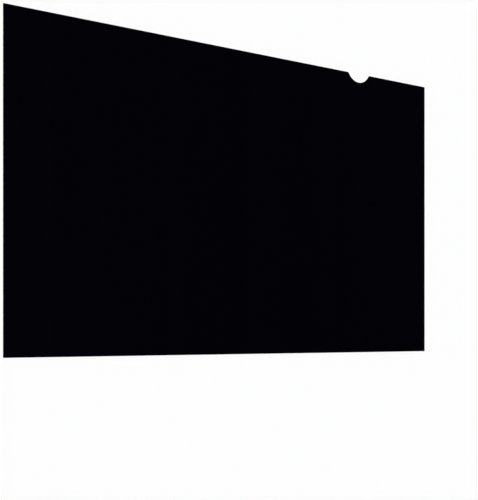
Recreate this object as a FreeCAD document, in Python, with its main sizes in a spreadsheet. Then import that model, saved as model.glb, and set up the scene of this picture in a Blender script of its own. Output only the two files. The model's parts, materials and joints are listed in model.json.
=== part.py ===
"""Monitor privacy filter: one sheet of black louvre film, die-cut to fit a widescreen display.

The sheet lies on its back face, which is the side that goes against the screen.
Origin: middle of the back face. +X runs along the width to the viewer's right,
+Y up the screen to the notched edge, +Z out of the front face. Millimetres.
"""

import FreeCAD
import Part
import Sketcher

import math
import os

NODE = "filter_sheet"
PARTS_FOLDER = "parts"
TOLERANCE = 1e-6

# Driving dimensions, each in a cell of its own
SIZES = {
    "sheet_width": 531.0,
    "sheet_height": 299.0,
    "sheet_thickness": 0.55,
    "corner_radius": 0.5,
    "notch_radius": 18.0,
    "notch_depth": 9.2,
    "notch_from_side": 105.8,
    "shoulder_radius": 2.0,
    "edge_roll": 0.1,
}

# Place of the notch's circle, worked out from the driving dimensions
NOTCH_ACROSS = "sizes.sheet_width / 2 - sizes.notch_from_side"
NOTCH_ALONG = "sizes.sheet_height / 2 - sizes.notch_depth + sizes.notch_radius"

# Numbers that a sketch gives to the points of a curve, and to its own origin
START, END, CENTRE = 1, 2, 3
ORIGIN_POINT = (-1, START)


def add_sizes(doc):
    """The spreadsheet of driving dimensions, each cell under its own alias."""
    sizes = doc.addObject("Spreadsheet::Sheet", "sizes")
    for row, (alias, value) in enumerate(SIZES.items(), start=1):
        sizes.set(f"A{row}", alias)
        sizes.set(f"B{row}", str(value))
        sizes.setAlias(f"B{row}", alias)
    doc.recompute()
    return sizes


def corner_points(sizes):
    """The blank's four corners, anticlockwise from the lower left one."""
    half_width = sizes.sheet_width / 2
    half_height = sizes.sheet_height / 2
    return [
        FreeCAD.Vector(-half_width, -half_height, 0),
        FreeCAD.Vector(half_width, -half_height, 0),
        FreeCAD.Vector(half_width, half_height, 0),
        FreeCAD.Vector(-half_width, half_height, 0),
    ]


def notch_centre(sizes):
    """The centre of the notch's circle, which stands above the top edge."""
    across = sizes.sheet_width / 2 - sizes.notch_from_side
    along = sizes.sheet_height / 2 - sizes.notch_depth + sizes.notch_radius
    return FreeCAD.Vector(across, along, 0)


def shoulder_points(sizes):
    """The two points where the notch's circle crosses the top edge."""
    centre = notch_centre(sizes)
    top = sizes.sheet_height / 2
    half_chord = math.sqrt(sizes.notch_radius**2 - (centre.y - top) ** 2)
    return [FreeCAD.Vector(centre.x + side * half_chord, top, 0) for side in (-1, 1)]


def add_sketch(body, name):
    """An empty sketch on the plane of the sheet's back face."""
    plane = next(p for p in body.Origin.OriginFeatures if p.Role == "XY_Plane")
    sketch = body.newObject("Sketcher::SketchObject", name)
    sketch.AttachmentSupport = [(plane, "")]
    sketch.MapMode = "FlatFace"
    return sketch


def add_dimension(sketch, name, expression, *constraint):
    """A named dimension of the sketch, tied to the spreadsheet."""
    index = sketch.addConstraint(Sketcher.Constraint(*constraint))
    sketch.renameConstraint(index, name)
    sketch.setExpression(f"Constraints.{name}", expression)


def draw_outline(body, sizes):
    """The blank's rectangle, centred on the origin."""
    sketch = add_sketch(body, "sheet_outline")
    corners = corner_points(sizes)
    sides = [
        sketch.addGeometry(Part.LineSegment(start, end))
        for start, end in zip(corners, corners[1:] + corners[:1])
    ]
    bottom, right, top, left = sides
    for side, following in zip(sides, sides[1:] + sides[:1]):
        sketch.addConstraint(Sketcher.Constraint("Coincident", side, END, following, START))
    for side in (bottom, top):
        sketch.addConstraint(Sketcher.Constraint("Horizontal", side))
    for side in (right, left):
        sketch.addConstraint(Sketcher.Constraint("Vertical", side))
    sketch.addConstraint(Sketcher.Constraint("Symmetric", bottom, START, top, START, *ORIGIN_POINT))
    width = ("DistanceX", bottom, START, bottom, END, sizes.sheet_width)
    add_dimension(sketch, "width", "sizes.sheet_width", *width)
    height = ("DistanceY", right, START, right, END, sizes.sheet_height)
    add_dimension(sketch, "height", "sizes.sheet_height", *height)
    return sketch


def draw_notch(body, sizes):
    """The circle whose lower arc bites a crescent for a fingertip out of the top edge."""
    sketch = add_sketch(body, "notch_outline")
    centre = notch_centre(sizes)
    upright = FreeCAD.Vector(0, 0, 1)
    circle = sketch.addGeometry(Part.Circle(centre, upright, sizes.notch_radius))
    radius = ("Radius", circle, sizes.notch_radius)
    add_dimension(sketch, "radius", "sizes.notch_radius", *radius)
    across = ("DistanceX", *ORIGIN_POINT, circle, CENTRE, centre.x)
    add_dimension(sketch, "across", NOTCH_ACROSS, *across)
    along = ("DistanceY", *ORIGIN_POINT, circle, CENTRE, centre.y)
    add_dimension(sketch, "along", NOTCH_ALONG, *along)
    return sketch


def upright_edges(shape, points):
    """Names of the edges that run from face to face at the given points of the back face."""
    names = []
    for number, edge in enumerate(shape.Edges, start=1):
        ends = sorted((vertex.Point for vertex in edge.Vertexes), key=lambda point: point.z)
        is_upright = ends[-1].z - ends[0].z > TOLERANCE
        if is_upright and any(ends[0].distanceToPoint(point) < TOLERANCE for point in points):
            names.append(f"Edge{number}")
    return names


def front_edges(shape, sizes):
    """Names of the edges that lie all round the front face."""
    return [
        f"Edge{number}"
        for number, edge in enumerate(shape.Edges, start=1)
        if all(abs(vertex.Z - sizes.sheet_thickness) < TOLERANCE for vertex in edge.Vertexes)
    ]


def add_rounds(body, name, base, edges, radius):
    """Rounds the named edges of a feature to a radius in the spreadsheet."""
    rounds = body.newObject("PartDesign::Fillet", name)
    rounds.Base = (base, edges)
    rounds.setExpression("Radius", radius)
    body.Document.recompute()
    return rounds


def add_filter_sheet(doc, sizes):
    """The whole filter: a blank, its notch, rounded corners and the edge that the cutting die rolls over."""
    body = doc.addObject("PartDesign::Body", NODE)
    body.Label = NODE
    body.Placement = FreeCAD.Placement()

    blank = body.newObject("PartDesign::Pad", "blank")
    blank.Profile = draw_outline(body, sizes)
    blank.setExpression("Length", "sizes.sheet_thickness")
    doc.recompute()

    notch = body.newObject("PartDesign::Pocket", "finger_notch")
    notch.Profile = draw_notch(body, sizes)
    notch.Type = "ThroughAll"
    notch.Reversed = True
    doc.recompute()
    if notch.Shape.Volume > blank.Shape.Volume - TOLERANCE:
        raise RuntimeError("the finger notch cuts nothing out of the sheet")

    edges = upright_edges(notch.Shape, corner_points(sizes))
    corners = add_rounds(body, "corner_rounds", notch, edges, "sizes.corner_radius")
    edges = upright_edges(corners.Shape, shoulder_points(sizes))
    shoulders = add_rounds(body, "notch_shoulders", corners, edges, "sizes.shoulder_radius")
    edges = front_edges(shoulders.Shape, sizes)
    add_rounds(body, "die_roll", shoulders, edges, "sizes.edge_roll")
    return body


def check(doc, body):
    """Stops the build if any object failed or the sheet isn't one sound solid."""
    for item in doc.Objects:
        if {"Invalid", "Error"} & set(item.State):
            raise RuntimeError(f"{item.Label} failed: {item.State}")
    shape = body.Shape
    if shape.isNull() or not shape.isValid() or len(shape.Solids) != 1:
        raise RuntimeError(f"{body.Label} isn't one valid solid")


def main():
    doc = FreeCAD.newDocument("privacy_filter")
    sizes = add_sizes(doc)
    body = add_filter_sheet(doc, sizes)
    doc.recompute()
    check(doc, body)
    os.makedirs(PARTS_FOLDER, exist_ok=True)
    body.Shape.exportStep(os.path.join(PARTS_FOLDER, f"{body.Label}.step"))
    print(f"{body.Label}: one solid of {body.Shape.Volume:.1f} cubic millimetres")


main()
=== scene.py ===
"""A monitor privacy filter: the die-cut sheet of louvre film, its three finishes and a plain studio."""

import json
import math
from typing import NamedTuple

import bmesh
import bpy
from bpy.props import FloatProperty, FloatVectorProperty, PointerProperty
from bpy.types import Operator, Panel, PropertyGroup
from mathutils import Euler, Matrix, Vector


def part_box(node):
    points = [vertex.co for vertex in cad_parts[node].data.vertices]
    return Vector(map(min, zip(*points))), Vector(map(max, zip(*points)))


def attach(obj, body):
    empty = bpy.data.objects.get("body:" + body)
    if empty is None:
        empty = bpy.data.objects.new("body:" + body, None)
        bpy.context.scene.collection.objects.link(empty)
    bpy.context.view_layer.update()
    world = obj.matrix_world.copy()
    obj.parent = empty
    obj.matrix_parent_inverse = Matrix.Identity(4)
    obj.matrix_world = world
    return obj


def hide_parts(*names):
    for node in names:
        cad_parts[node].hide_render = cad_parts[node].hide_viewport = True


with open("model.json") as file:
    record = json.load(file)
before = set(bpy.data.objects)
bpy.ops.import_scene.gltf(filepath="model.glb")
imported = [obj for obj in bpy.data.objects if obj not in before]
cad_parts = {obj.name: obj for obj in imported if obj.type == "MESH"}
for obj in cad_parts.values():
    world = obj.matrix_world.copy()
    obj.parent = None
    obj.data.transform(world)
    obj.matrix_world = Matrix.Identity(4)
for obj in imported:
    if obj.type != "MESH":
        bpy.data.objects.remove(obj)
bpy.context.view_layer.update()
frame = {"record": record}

bl_info = {
    "name": "Monitor privacy filter",
    "version": (1, 0, 0),
    "blender": (4, 5, 0),
    "location": "3D View > Sidebar > Privacy Filter",
    "description": "Makes a die-cut sheet of louvre film and the studio it lies in",
    "category": "Object",
}

BODY = "root"
NODE = "filter_sheet"
PIECE = "die_cut_sheet"

MM = 0.001
QUARTER_TURN = math.pi / 2
SHEET_LOW, SHEET_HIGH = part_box(NODE)
SHEET = SHEET_HIGH - SHEET_LOW

# The notch's middle is the middle of the record's opening for a fingertip
OPENINGS = {opening["name"]: opening["box_m"] for opening in frame["record"]["physics"]["openings"]}
NOTCH_LOW, NOTCH_HIGH = OPENINGS["finger_notch"]
NOTCH_FROM_SIDE = SHEET_HIGH.x - (NOTCH_LOW[0] + NOTCH_HIGH[0]) / 2


# Settings that a user may change


def number(name, description, default, **limits):
    """A plain number."""
    return FloatProperty(name=name, description=description, default=default, **limits)


def length(name, description, default):
    """A size in metres."""
    return number(name, description, default, min=0, precision=5, unit="LENGTH")


def angle(name, description, degrees):
    """An angle, given in degrees."""
    return number(name, description, math.radians(degrees), subtype="ANGLE")


def share(name, description, default):
    """A number from 0 to 1."""
    return number(name, description, default, min=0, max=1, subtype="FACTOR")


def colour(name, description, default):
    """A linear colour."""
    limits = {"min": 0, "max": 1, "subtype": "COLOR"}
    return FloatVectorProperty(name=name, description=description, default=default, **limits)


class SheetSizes(PropertyGroup):
    """Sizes of the die-cut sheet."""

    width: length("Width", "Across the screen", SHEET.x)
    height: length("Height", "Up the screen", SHEET.y)
    thickness: length("Thickness", "From the back face to the front face", SHEET.z)
    corner_radius: length("Corner Radius", "Rounding of the four corners", 0.5 * MM)
    notch_radius: length("Notch Radius", "Circle that bites the notch out of the top edge", 18.0 * MM)
    notch_depth: length("Notch Depth", "How far the notch reaches below the top edge", 9.2 * MM)
    notch_from_side: length("Notch From Side", "Right edge to the notch's middle", NOTCH_FROM_SIDE)
    shoulder_radius: length("Shoulder Radius", "Blend between the notch and the top edge", 2.0 * MM)
    edge_roll: length("Edge Roll", "Rounding that the cutting die leaves on the front edge", 0.1 * MM)
    rim: length("Rim", "Border of flat faces, narrower than a corner's rounding", 0.4 * MM)
    facet: angle("Facet", "Turn from one point of the outline's round stretches to the next", 3)
    roll_facet: angle("Roll Facet", "Turn from one point of the rolled edge to the next", 15)


class FilmFinish(PropertyGroup):
    """Colours and surfaces of the film."""

    louvre: colour("Louvre", "Black of the upright louvres", (0.0001, 0.0001, 0.0008))
    window: colour("Window", "Tint of the clear film between two louvres", (0.0004, 0.0003, 0.0018))
    cover: colour("Cover Film", "Cut edge of the clear cover films", (0.030, 0.031, 0.036))
    pitch: length("Louvre Pitch", "From one louvre to the next", 0.1 * MM)
    front_roughness: share("Front Roughness", "Satin, anti-glare front", 0.22)
    back_roughness: share("Back Roughness", "Smooth back", 0.14)
    edge_roughness: share("Edge Roughness", "Sheared edge", 0.5)


class StudioLook(PropertyGroup):
    """Floor, light and walls of the studio."""

    floor: colour("Floor", "Plain pale floor", (0.99, 0.99, 0.99))
    wall: colour("Wall", "The room near the horizon", (0.982, 0.982, 0.982))
    ceiling: colour("Ceiling", "The room overhead", (0.006, 0.006, 0.007))
    wall_top: share("Wall Top", "Sine of the height at which a wall has darkened to the ceiling", 0.4)
    low_wall_top: share("Low Wall Top", "The same, on the room's open side", 0.18)
    open_side: angle("Open Side", "Way to the room's open side, anticlockwise from the right", -45)
    key_strength: number("Key Strength", "Light on a surface that faces the lamp", 3.52, min=0)
    key_rise: angle("Key Rise", "Height of the key light above the horizon", 58)
    key_turn: angle("Key Turn", "Way to the key light, anticlockwise from the right", 200)
    key_spread: angle("Key Spread", "Width of the key light as the sheet sees it", 35)


class PhotoView(PropertyGroup):
    """Where the camera stands, measured from the middle of the sheet's front face."""

    swing: angle("Swing", "Turn round the upright of the sheet, towards its left edge", 39.66)
    distance: length("Distance", "Back from the sheet's middle along the line of sight", 1151.1 * MM)
    sideways: length("Sideways", "To the left of the sheet's middle, as the camera sees it", 5.9 * MM)
    below: length("Below", "Below the sheet's middle, as the camera sees it", 127.2 * MM)
    focal_length: number("Focal Length", "Of the lens, in millimetres", 83.94, unit="CAMERA")
    frame_rise: number("Frame Rise", "Shift of the frame above the line of sight", 0.163)


# Node trees


class Value:
    """An output socket of a node tree. Arithmetic on it adds Math nodes to the tree."""

    def __init__(self, graph, socket):
        self.graph = graph
        self.socket = socket

    def __add__(self, other):
        return self.graph.math("ADD", self, other)

    def __radd__(self, other):
        return self.graph.math("ADD", other, self)

    def __sub__(self, other):
        return self.graph.math("SUBTRACT", self, other)

    def __rsub__(self, other):
        return self.graph.math("SUBTRACT", other, self)

    def __mul__(self, other):
        return self.graph.math("MULTIPLY", self, other)

    def __rmul__(self, other):
        return self.graph.math("MULTIPLY", other, self)

    def __truediv__(self, other):
        return self.graph.math("DIVIDE", self, other)

    def __rtruediv__(self, other):
        return self.graph.math("DIVIDE", other, self)

    def __gt__(self, other):
        return self.graph.math("GREATER_THAN", self, other)

    def __lt__(self, other):
        return self.graph.math("LESS_THAN", self, other)

    def __abs__(self):
        return self.graph.math("ABSOLUTE", self)

    def __neg__(self):
        return self.graph.math("MULTIPLY", self, -1)


class Graph:
    """A node tree that is being built."""

    def __init__(self, tree):
        self.tree = tree
        tree.nodes.clear()

    def add(self, kind, settings=None, inputs=None, output=0):
        """Adds a node, makes its settings, then fills its sockets. Gives one of its outputs."""
        node = self.tree.nodes.new(kind)
        for name, setting in (settings or {}).items():
            setattr(node, name, setting)
        for key, value in (inputs or {}).items():
            self.fill(self.pick(node.inputs, key), value)
        return Value(self, self.pick(node.outputs, output)) if node.outputs else None

    def pick(self, sockets, key):
        """A socket by its place, or by its name among those in use."""
        if isinstance(key, int):
            return sockets[key]
        return next(socket for socket in sockets if socket.name == key and socket.enabled)

    def fill(self, socket, value):
        """Links a socket to one value or to a list of them, or sets its own number."""
        if isinstance(value, Value):
            self.tree.links.new(value.socket, socket)
        elif isinstance(value, list):
            # A socket that takes many links reads the newest first
            for each in reversed(value):
                self.tree.links.new(each.socket, socket)
        else:
            socket.default_value = value

    def math(self, operation, *values):
        """A Math node on the given values."""
        return self.add("ShaderNodeMath", {"operation": operation}, dict(enumerate(values)))

    def axis(self, vector, name):
        """One axis of a vector."""
        return self.add("ShaderNodeSeparateXYZ", inputs={"Vector": vector}, output=name)

    def ease(self, value, low, high):
        """0 below the low end and 1 above the high end, with a smooth step between them."""
        ends = {"Value": value, "From Min": low, "From Max": high}
        return self.add("ShaderNodeMapRange", {"interpolation_type": "SMOOTHSTEP"}, ends)

    def mix(self, first, second, part):
        """The first colour where the part is 0, and the second where it is 1."""
        tints = {"Factor": part, "A": (*first, 1), "B": (*second, 1)}
        return self.add("ShaderNodeMix", {"data_type": "RGBA"}, tints, output="Result")


# Shape of the sheet

# Points closer than this are one point
WELD = 1e-7
# Faces that meet at more than this angle meet at a crisp edge
CRISP = math.radians(40)
# A face whose normal is this near to upright belongs to the front or the back
LEVEL = 0.9999


class SheetCutter(Graph):
    """The geometry tree that cuts the sheet to its outline and gives it its edge."""

    def __init__(self, films):
        super().__init__(bpy.data.node_groups.new(PIECE, "GeometryNodeTree"))
        self.keys = {}
        for name in SheetSizes.__annotations__:
            self.add_input(name, SheetSizes.bl_rna.properties[name].name, "NodeSocketFloat")
        for name in films:
            self.add_input(name, name.replace("_", " ").title(), "NodeSocketMaterial")
        self.tree.interface.new_socket("Sheet", in_out="OUTPUT", socket_type="NodeSocketGeometry")
        places = enumerate(self.keys)
        self.given = {name: self.add("NodeGroupInput", output=place) for place, name in places}
        self.build()

    def add_input(self, name, label, kind):
        """A named input of the tree, found again by its identifier."""
        socket = self.tree.interface.new_socket(label, in_out="INPUT", socket_type=kind)
        self.keys[name] = socket.identifier

    def vector(self, x=0.0, y=0.0, z=0.0):
        """A vector from its three axes."""
        return self.add("ShaderNodeCombineXYZ", inputs={"X": x, "Y": y, "Z": z})

    def move(self, shape, *place):
        """A shape moved to a place."""
        wanted = {"Geometry": shape, "Translation": self.vector(*place)}
        return self.add("GeometryNodeTransform", inputs=wanted)

    def point(self, x, y):
        """A single point of an outline."""
        return self.add("GeometryNodePoints", inputs={"Count": 1, "Position": self.vector(x, y)})

    def arc(self, centre, radius, start, sweep, facet="facet"):
        """The points of a round stretch of an outline, one more than it has facets."""
        count = self.math("ROUND", abs(sweep) / self.given[facet]) + 1
        bend = {"Resolution": count, "Radius": radius, "Start Angle": start, "Sweep Angle": sweep}
        curve = self.add("GeometryNodeCurveArc", {"mode": "RADIUS"}, bend)
        placed = {"Curve": self.move(curve, *centre)}
        return self.add("GeometryNodeCurveToPoints", {"mode": "EVALUATED"}, placed)

    def thread(self, stretches, closed):
        """One curve through all the given points, in order."""
        points = self.add("GeometryNodeJoinGeometry", inputs={"Geometry": stretches})
        curve = self.add("GeometryNodePointsToCurves", inputs={"Points": points})
        return self.add("GeometryNodeSetSplineCyclic", inputs={"Geometry": curve, "Cyclic": closed})

    def outline(self):
        """The sheet's outline, anticlockwise: round stretches, straight between two that don't touch."""
        given = self.given
        corner, notch, shoulder = given["corner_radius"], given["notch_radius"], given["shoulder_radius"]
        top = given["height"] / 2
        right_x = given["width"] / 2 - corner
        upper_y = top - corner
        notch_x = given["width"] / 2 - given["notch_from_side"]
        notch_y = top + notch - given["notch_depth"]
        shoulder_y = top - shoulder
        # Each shoulder touches the top edge from below and the notch's circle from outside
        reach = notch + shoulder
        fall = notch_y - shoulder_y
        spread = self.math("SQRT", reach * reach - fall * fall)
        lean = self.math("ARCTAN2", fall, spread)
        stretches = [
            self.arc((-right_x, -upper_y), corner, 2 * QUARTER_TURN, QUARTER_TURN),
            self.arc((right_x, -upper_y), corner, 3 * QUARTER_TURN, QUARTER_TURN),
            self.arc((right_x, upper_y), corner, 0.0, QUARTER_TURN),
            self.arc((notch_x + spread, shoulder_y), shoulder, QUARTER_TURN, QUARTER_TURN - lean),
            self.arc((notch_x, notch_y), notch, -lean, 2 * lean - 2 * QUARTER_TURN),
            self.arc((notch_x - spread, shoulder_y), shoulder, lean, QUARTER_TURN - lean),
            self.arc((-right_x, upper_y), corner, QUARTER_TURN, QUARTER_TURN),
        ]
        return self.thread(stretches, closed=True)

    def edge_section(self):
        """Section of the edge: out along the front, over the roll, down the side, in along the back.

        The sweep turns a section's own Y axis downwards, so heights are negative here.
        """
        rim, roll, thickness = self.given["rim"], self.given["edge_roll"], self.given["thickness"]
        stretches = [
            self.point(-rim, -thickness),
            self.arc((-roll, roll - thickness), roll, -QUARTER_TURN, QUARTER_TURN, "roll_facet"),
            self.point(0.0, 0.0),
            self.point(-rim, 0.0),
        ]
        return self.thread(stretches, closed=False)

    def sweep_edge(self, outline):
        """The edge's section carried round the outline."""
        path = {"Curve": outline, "Profile Curve": self.edge_section()}
        return self.add("GeometryNodeCurveToMesh", inputs=path)

    def fill_face(self, outline):
        """The level face inside the rim, at the height of the back."""
        outwards = self.add("GeometryNodeInputNormal", output="Normal")
        shrink = {"Vector": outwards, "Scale": -self.given["rim"]}
        inwards = self.add("ShaderNodeVectorMath", {"operation": "SCALE"}, shrink)
        inner = self.add("GeometryNodeSetPosition", inputs={"Geometry": outline, "Offset": inwards})
        return self.add("GeometryNodeFillCurve", {"mode": "TRIANGLES"}, {"Curve": inner})

    def weld(self, shapes):
        """The shapes joined at their common points, with crisp edges where they meet at a sharp angle."""
        loose = self.add("GeometryNodeJoinGeometry", inputs={"Geometry": shapes})
        skin = self.add("GeometryNodeMergeByDistance", inputs={"Geometry": loose, "Distance": WELD})
        bend = self.add("GeometryNodeInputMeshEdgeAngle", output="Unsigned Angle")
        smooth = {"Geometry": skin, "Shade Smooth": bend < CRISP}
        return self.add("GeometryNodeSetShadeSmooth", {"domain": "EDGE"}, smooth)

    def build(self):
        """Sweeps the edge round the outline, fills both faces, welds them and gives each its film."""
        outline = self.add("GeometryNodeSetCurveNormal", {"mode": "Z_UP"}, {"Curve": self.outline()})
        face = self.fill_face(outline)
        front = self.move(face, 0.0, 0.0, self.given["thickness"])
        back = self.add("GeometryNodeFlipFaces", inputs={"Mesh": face})
        sheet = self.weld([self.sweep_edge(outline), front, back])
        sheet = self.add("GeometryNodeRealizeInstances", inputs={"Geometry": sheet})
        upward = self.axis(self.add("GeometryNodeInputNormal", output="Normal"), "Z")
        chosen = {"cut_edge": True, "front_film": upward > LEVEL, "back_film": upward < -LEVEL}
        for film, faces in chosen.items():
            finish = {"Geometry": sheet, "Selection": faces, "Material": self.given[film]}
            sheet = self.add("GeometryNodeSetMaterial", inputs=finish)
        self.add("NodeGroupOutput", inputs={"Sheet": sheet})


# Finishes of the sheet


class Unevenness(NamedTuple):
    """How wide one kind of unevenness is, how high it stands and what it adds to the roughness."""

    width: float
    height: float
    roughness: float = 0.0


WAVE = Unevenness(110 * MM, 0.16 * MM)
BANDS = Unevenness(24 * MM, 0.002 * MM, 0.025)
ANTI_GLARE_GRAIN = Unevenness(0.06 * MM, 0.0004 * MM, 0.04)
SMOOTH_GRAIN = Unevenness(0.06 * MM, 0.00005 * MM, 0.01)
DIE_MARKS = Unevenness(0.12 * MM, 0.004 * MM, 0.1)
# How much longer a die mark is through the sheet than along its edge
MARK_STRETCH = 10.0
# How many times a lump is broken up by lumps half its width
FINER_LUMPS = 1.0

FILM_IOR = 1.5
# How far the louvres stand out where they show through a cover film
LOUVRE_RIDGE = 0.0002 * MM
# A louvre's flank, from the middle of a gap at 0 to the middle of the louvre at 1
LOUVRE_FLANK = (0.45, 0.75)
# Where the core ends and a cover film begins, from the middle of the sheet at 0 to a face at 1
COVER_START = (0.55, 0.68)


class Surface(Graph):
    """A material with one plain shader, whose constants are set on the shader's own sockets."""

    def __init__(self, name, constants):
        self.material = bpy.data.materials.new(name)
        self.material.use_nodes = True
        super().__init__(self.material.node_tree)
        shader = self.add("ShaderNodeBsdfPrincipled", inputs=constants, output="BSDF")
        self.add("ShaderNodeOutputMaterial", inputs={"Surface": shader})
        self.sockets = shader.socket.node.inputs

    def feed(self, name, value):
        """Gives the shader a value that changes over the surface."""
        self.fill(self.sockets[name], value)

    def place(self):
        """A point's own place, in metres from the middle of the sheet's back face."""
        return self.add("ShaderNodeTexCoord", output="Object")

    def noise(self, width, dimensions, **place):
        """Soft random lumps about as wide as given, from -1 to 1."""
        wanted = {**place, "Scale": 1 / width, "Detail": FINER_LUMPS}
        return 2 * self.add("ShaderNodeTexNoise", {"noise_dimensions": dimensions}, wanted) - 1

    def lumps(self, place, width):
        """Random lumps all over the surface."""
        return self.noise(width, "3D", Vector=place)

    def streaks(self, across, width):
        """Random bands that run up the sheet."""
        return self.noise(width, "1D", W=across)

    def relief(self, height):
        """Gives the surface a height in metres. What is finer than a pixel is smoothed away."""
        wanted = {"Height": height, "Distance": 1.0, "Filter Width": 1.0}
        self.feed("Normal", self.add("ShaderNodeBump", inputs=wanted))


def louvre_mask(film, across, pitch):
    """1 on the upright louvres and 0 on the clear film between them, at their real pitch."""
    half = pitch / 2
    return film.ease(film.math("PINGPONG", across, half) / half, *LOUVRE_FLANK)


def cover_film(name, finish, roughness, grain):
    """A clear film over the louvres, which just show through it. It is grained, banded and wavy."""
    film = Surface(name, {"IOR": FILM_IOR})
    place = film.place()
    across = film.axis(place, "X")
    louvres = louvre_mask(film, across, finish.pitch)
    bands = film.streaks(across, BANDS.width)
    grains = film.lumps(place, grain.width)
    waves = film.lumps(place, WAVE.width)
    film.feed("Base Color", film.mix(finish.window, finish.louvre, louvres))
    film.feed("Roughness", roughness + BANDS.roughness * bands + grain.roughness * grains)
    smooth_height = WAVE.height * waves + BANDS.height * bands
    film.relief(smooth_height + grain.height * grains + LOUVRE_RIDGE * louvres)
    return film.material


def front_film(finish):
    """The satin, anti-glare front."""
    return cover_film("front_film", finish, finish.front_roughness, ANTI_GLARE_GRAIN)


def back_film(finish):
    """The smooth back, which goes against the screen."""
    return cover_film("back_film", finish, finish.back_roughness, SMOOTH_GRAIN)


def cut_edge(finish, thickness):
    """The sheared side: a black core between two paler films, with the fine upright marks of the die."""
    edge = Surface("cut_edge", {"IOR": FILM_IOR})
    place = edge.place()
    half = thickness / 2
    from_middle = abs(edge.axis(place, "Z") - half) / half
    cover = edge.ease(from_middle, *COVER_START)
    squeeze = {0: place, 1: (1.0, 1.0, 1 / MARK_STRETCH)}
    squeezed = edge.add("ShaderNodeVectorMath", {"operation": "MULTIPLY"}, squeeze)
    marks = edge.lumps(squeezed, DIE_MARKS.width)
    edge.feed("Base Color", edge.mix(finish.louvre, finish.cover, cover))
    edge.feed("Roughness", finish.edge_roughness + DIE_MARKS.roughness * marks)
    edge.relief(DIE_MARKS.height * marks)
    return edge.material


# Making the sheet


def settle_mesh(piece):
    """Turns what the piece's modifier makes into its plain mesh, and takes the modifier off."""
    depsgraph = bpy.context.evaluated_depsgraph_get()
    mesh = bpy.data.meshes.new_from_object(piece.evaluated_get(depsgraph), depsgraph=depsgraph)
    piece.modifiers.clear()
    piece.data = mesh
    # The filled faces bring an empty material slot with them
    mesh.materials.pop(index=list(mesh.materials).index(None))


def check_closed(mesh):
    """Stops the script unless the mesh is one closed skin that faces outwards."""
    shell = bmesh.new()
    shell.from_mesh(mesh)
    closed = all(edge.is_manifold for edge in shell.edges)
    volume = shell.calc_volume(signed=True)
    shell.free()
    if not closed or volume <= 0:
        raise RuntimeError(f"{mesh.name} isn't a closed skin that faces outwards: volume {volume}")


class PRIVACY_FILTER_OT_die_cut_sheet(Operator):
    """Make the sheet of louvre film"""

    bl_idname = "privacy_filter.die_cut_sheet"
    bl_label = "Die-Cut Sheet"

    def execute(self, context):
        sizes = context.scene.filter_sizes
        finish = context.scene.filter_finish
        films = {
            "front_film": front_film(finish),
            "back_film": back_film(finish),
            "cut_edge": cut_edge(finish, sizes.thickness),
        }
        cutter = SheetCutter(films)
        piece = bpy.data.objects.new(PIECE, bpy.data.meshes.new(PIECE))
        context.scene.collection.objects.link(piece)
        modifier = piece.modifiers.new("Cut", "NODES")
        modifier.node_group = cutter.tree
        for name in SheetSizes.__annotations__:
            modifier[cutter.keys[name]] = getattr(sizes, name)
        for name, film in films.items():
            modifier[cutter.keys[name]] = film
        settle_mesh(piece)
        check_closed(piece.data)
        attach(piece, BODY)
        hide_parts(NODE)
        return {"FINISHED"}


# Studio

# How far the floor reaches each way from the sheet, and how far it lies below it
FLOOR_REACH = 150.0
FLOOR_DROP = 0.05 * MM
FLOOR_ROUGHNESS = 0.9
# Sine of the height at which the walls begin to darken
WALL_FOOT = 0.03
# How squarely a direction faces the open side where the walls begin to come down, and where they are low
OPEN_START, OPEN_END = 0.2, 0.8


def lay_floor(scene, look):
    """A wide flat floor just under the sheet."""
    signs = ((-1, -1), (1, -1), (1, 1), (-1, 1))
    corners = [(x * FLOOR_REACH, y * FLOOR_REACH, -FLOOR_DROP) for x, y in signs]
    mesh = bpy.data.meshes.new("studio_floor")
    mesh.from_pydata(corners, [], [range(len(corners))])
    paint = {"Base Color": (*look.floor, 1), "Roughness": FLOOR_ROUGHNESS, "Specular IOR Level": 0.0}
    mesh.materials.append(Surface("floor_paint", paint).material)
    floor = bpy.data.objects.new("studio_floor", mesh)
    scene.collection.objects.link(floor)


def paint_room(scene, look):
    """Pale walls that darken towards the ceiling, so that a level sheet has little to mirror.

    They are lower on the room's open side.
    """
    world = bpy.data.worlds.new("studio_room")
    world.use_nodes = True
    room = Graph(world.node_tree)
    direction = room.add("ShaderNodeTexCoord", output="Generated")
    x, y, z = [room.axis(direction, name) for name in "XYZ"]
    facing_open = x * math.cos(look.open_side) + y * math.sin(look.open_side)
    openness = room.ease(facing_open, OPEN_START, OPEN_END)
    top = look.wall_top + (look.low_wall_top - look.wall_top) * openness
    paint = room.mix(look.wall, look.ceiling, room.ease(z, WALL_FOOT, top))
    background = room.add("ShaderNodeBackground", inputs={"Color": paint})
    room.add("ShaderNodeOutputWorld", inputs={"Surface": background})
    scene.world = world


def hang_key(scene, look):
    """One broad soft light from the camera's side, even over the whole floor."""
    lamp = bpy.data.lights.new("key_light", "SUN")
    lamp.energy = look.key_strength
    lamp.angle = look.key_spread
    key = bpy.data.objects.new("key_light", lamp)
    level = Vector((math.cos(look.key_turn), math.sin(look.key_turn), 0))
    towards = level * math.cos(look.key_rise) + Vector((0, 0, math.sin(look.key_rise)))
    key.rotation_euler = towards.to_track_quat("Z", "Y").to_euler()
    scene.collection.objects.link(key)


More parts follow.
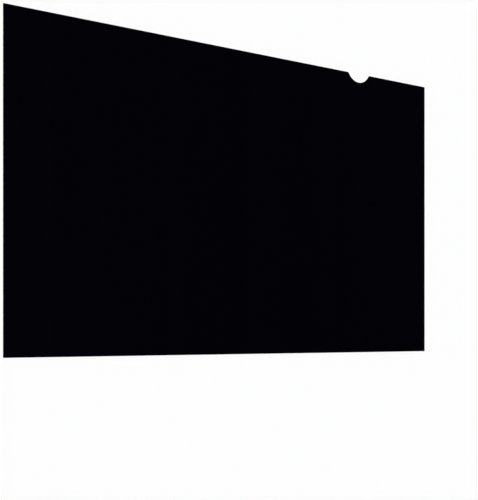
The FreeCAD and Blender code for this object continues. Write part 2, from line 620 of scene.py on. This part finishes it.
def stand_camera(scene, view, thickness):
    """The camera looks down on the sheet at the photograph's angle, with the notched edge at the top."""
    lens = bpy.data.cameras.new("photo_camera")
    lens.lens = view.focal_length
    lens.shift_y = view.frame_rise
    camera = bpy.data.objects.new("photo_camera", lens)
    turn = Euler((0, -view.swing, 0))
    camera.rotation_euler = turn
    middle = Vector((0, 0, thickness))
    camera.location = middle + turn.to_matrix() @ Vector((-view.sideways, -view.below, view.distance))
    scene.collection.objects.link(camera)
    scene.camera = camera


class PRIVACY_FILTER_OT_studio(Operator):
    """Make the floor, the light and the camera"""

    bl_idname = "privacy_filter.studio"
    bl_label = "Studio"

    def execute(self, context):
        scene = context.scene
        look = scene.filter_studio
        lay_floor(scene, look)
        paint_room(scene, look)
        hang_key(scene, look)
        stand_camera(scene, scene.filter_view, scene.filter_sizes.thickness)
        scene.view_settings.view_transform = "Standard"
        return {"FINISHED"}


# Sidebar and registration


class PRIVACY_FILTER_PT_sidebar(Panel):
    """Lists the filter's settings and what makes its pieces"""

    bl_label = "Monitor Privacy Filter"
    bl_space_type = "VIEW_3D"
    bl_region_type = "UI"
    bl_category = "Privacy Filter"

    def draw(self, context):
        for group in GROUPS:
            settings = getattr(context.scene, group)
            column = self.layout.column(align=True)
            for name in settings.__annotations__:
                column.prop(settings, name)
        self.layout.operator(PRIVACY_FILTER_OT_die_cut_sheet.bl_idname)
        self.layout.operator(PRIVACY_FILTER_OT_studio.bl_idname)


GROUPS = {
    "filter_sizes": SheetSizes,
    "filter_finish": FilmFinish,
    "filter_studio": StudioLook,
    "filter_view": PhotoView,
}
CLASSES = (
    *GROUPS.values(),
    PRIVACY_FILTER_OT_die_cut_sheet,
    PRIVACY_FILTER_OT_studio,
    PRIVACY_FILTER_PT_sidebar,
)


def register():
    for each in CLASSES:
        bpy.utils.register_class(each)
    for name, group in GROUPS.items():
        setattr(bpy.types.Scene, name, PointerProperty(type=group))


def unregister():
    for name in GROUPS:
        delattr(bpy.types.Scene, name)
    for each in reversed(CLASSES):
        bpy.utils.unregister_class(each)


def main():
    """Makes the sheet and its studio."""
    register()
    bpy.ops.privacy_filter.die_cut_sheet()
    bpy.ops.privacy_filter.studio()


if __name__ == "__main__":
    main()
